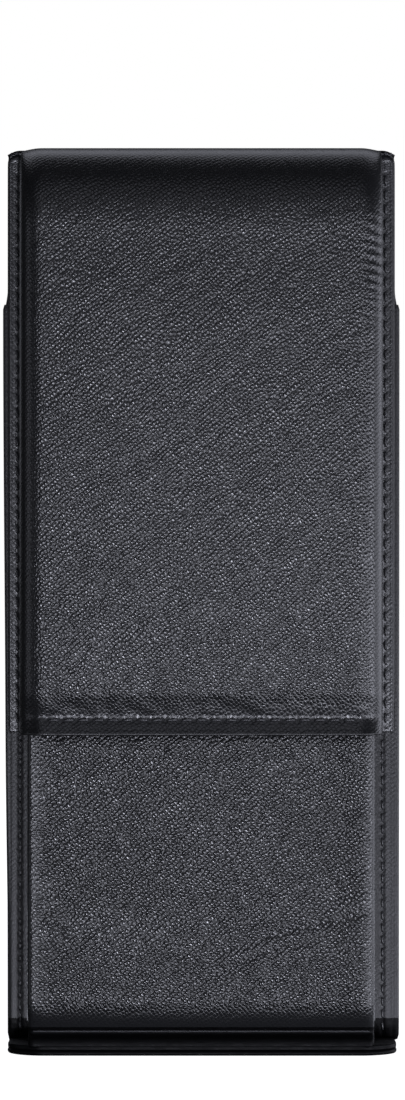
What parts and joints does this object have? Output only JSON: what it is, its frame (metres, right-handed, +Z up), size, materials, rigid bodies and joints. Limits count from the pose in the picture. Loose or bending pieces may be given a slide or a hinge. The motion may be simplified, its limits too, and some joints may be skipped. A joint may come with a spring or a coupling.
{
  "type": "slim leather case with fold-over flap",
  "caption": "Slim upright leather case: moulded front pocket with stitched side flanges, flat back, layered sole and a padded flap that folds over the top.",
  "frame": {"origin": "middle of the case's width and depth, in the plane of the sole", "axes": "+Z up from the sole to the top fold, the front with the flap faces -Y, +X to the right as seen from the front"},
  "size_m": [0.0704, 0.02, 0.161],
  "materials": {
    "case_leather": "black pebbled leather, soft gloss",
    "flap_leather": "black pebbled leather, soft gloss",
    "edge_leather": "smooth leather with dyed edges",
    "divider_leather": "matt black split leather",
    "lining": "black napped lining",
    "thread": "black waxed thread",
    "fibre_board": "bonded leather fibre board",
    "foam": "thin closed foam",
    "steel": "plain"
  },
  "bodies": {
    "case": {"back_panel": "case_leather", "back_board": "fibre_board", "back_lining": "lining", "front_panel": "case_leather", "front_board": "fibre_board", "front_lining": "lining", "mouth_binding": "case_leather", "mouth_thread": "thread", "sole": "edge_leather", "sole_welt": "edge_leather", "base_board": "fibre_board", "base_lining": "lining", "divider_left": "divider_leather", "divider_right": "divider_leather", "keeper_discs": "steel", "seam_thread_left": "thread", "seam_thread_right": "thread"},
    "flap": {"flap_panel": "flap_leather", "flap_pad": "foam", "flap_board": "fibre_board", "flap_lining": "lining", "flap_magnets": "steel", "flap_thread_left": "thread", "flap_thread_right": "thread", "flap_thread_hem": "thread"}
  },
  "joints": [
    {"name": "flap_open", "type": "hinge", "parent": "case", "child": "flap", "pos_m": [0, 0.01, 0.161], "axis": [-1, 0, 0], "range_deg": [0, 170]}
  ]
}
